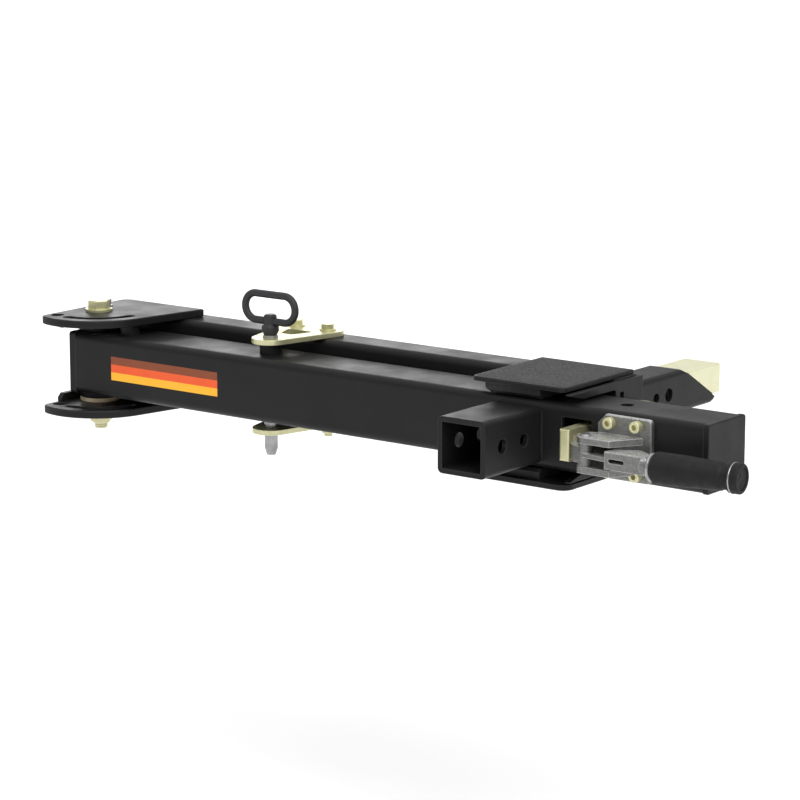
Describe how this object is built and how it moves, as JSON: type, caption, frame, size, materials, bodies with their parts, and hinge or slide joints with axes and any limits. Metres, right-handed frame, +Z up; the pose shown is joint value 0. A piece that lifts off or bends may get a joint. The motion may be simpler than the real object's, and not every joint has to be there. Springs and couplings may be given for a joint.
{
  "type": "swing arm hitch extension",
  "caption": "Swing-away hitch carrier: a square shank with an anti-rattle wedge, a fixed beam, and a latched arm that turns on a vertical bolt and carries its own receiver tube",
  "frame": {"origin": "centre of the hitch pin hole across the shank", "axes": "+X along the closed arm towards its latch, +Y along the shank towards the vehicle, +Z up"},
  "size_m": [0.9994, 0.4895, 0.1995],
  "materials": {
    "black_coat": "satin black powder coat",
    "grit_pad": "fine black anti-slip grit",
    "wear_plastic": "matt black plastic wear pad",
    "yellow_zinc": "pale yellow zinc plate",
    "bright_zinc": "bright zinc plate",
    "bronze": "plain bearing bronze",
    "cast_zinc": "silver-grey plated casting",
    "grip_steel": "plated steel core of the grip",
    "grip_rubber": "black rubber",
    "dark_steel": "dark coated steel"
  },
  "bodies": {
    "base": {"shank": "black_coat", "wedge_draw_bolt": "bright_zinc", "rear_beam": "black_coat", "beam_end_cap": "black_coat", "cradle_cheek": "black_coat", "step_pad": "grit_pad", "cradle_bottom_plate": "black_coat", "upper_wear_pad": "wear_plastic", "lower_wear_pad": "wear_plastic", "strike_bar": "yellow_zinc", "strike_spacer": "black_coat", "strike_bolts": "bright_zinc", "upper_pivot_plate": "black_coat", "lower_pivot_plate": "black_coat", "upper_pivot_rib": "black_coat", "lower_pivot_rib": "black_coat", "pivot_bolt": "yellow_zinc", "pivot_washers": "yellow_zinc", "pivot_nut": "yellow_zinc", "grease_fitting": "bright_zinc", "upper_lock_plate": "yellow_zinc", "lower_lock_plate": "yellow_zinc", "lock_plate_washers": "yellow_zinc", "lock_plate_bolts": "yellow_zinc", "lock_plate_nuts": "yellow_zinc"},
    "swing_arm": {"arm_tube": "black_coat", "arm_end_plate": "black_coat", "arm_pivot_end_strips": "black_coat", "pivot_barrel": "black_coat", "pivot_bushings": "bronze", "stop_sleeve": "black_coat", "lock_sleeve": "black_coat", "receiver_tube": "black_coat", "latch_bracket": "cast_zinc", "latch_bracket_bolts": "yellow_zinc", "latch_pivot_pin": "bright_zinc"},
    "latch_lever": {"latch_lever": "cast_zinc", "grip_ferrule": "grip_steel", "grip_core": "grip_steel", "rubber_grip": "grip_rubber", "grip_end_cap": "grip_rubber"},
    "lock_pin": {"lock_pin": "bright_zinc", "lock_pin_hub": "dark_steel", "lock_pin_handle": "dark_steel"},
    "wedge": {"wedge_block": "yellow_zinc"}
  },
  "joints": [
    {"name": "arm_swing", "type": "hinge", "parent": "base", "child": "swing_arm", "pos_m": [-0.658, -0.2319, 0], "axis": [0, 0, 1], "range_deg": [-104, 0]},
    {"name": "latch_swing", "type": "hinge", "parent": "swing_arm", "child": "latch_lever", "pos_m": [0.109, -0.2999, 0], "axis": [0, 0, 1], "range_deg": [-100, 0]},
    {"name": "lock_pin_lift", "type": "slide", "parent": "swing_arm", "child": "lock_pin", "axis": [0, 0, 1], "range_m": [0, 0.15]},
    {"name": "wedge_slide", "type": "slide", "parent": "base", "child": "wedge", "axis": [0, -0.8607, 0.509], "range_m": [0, 0.003]}
  ]
}
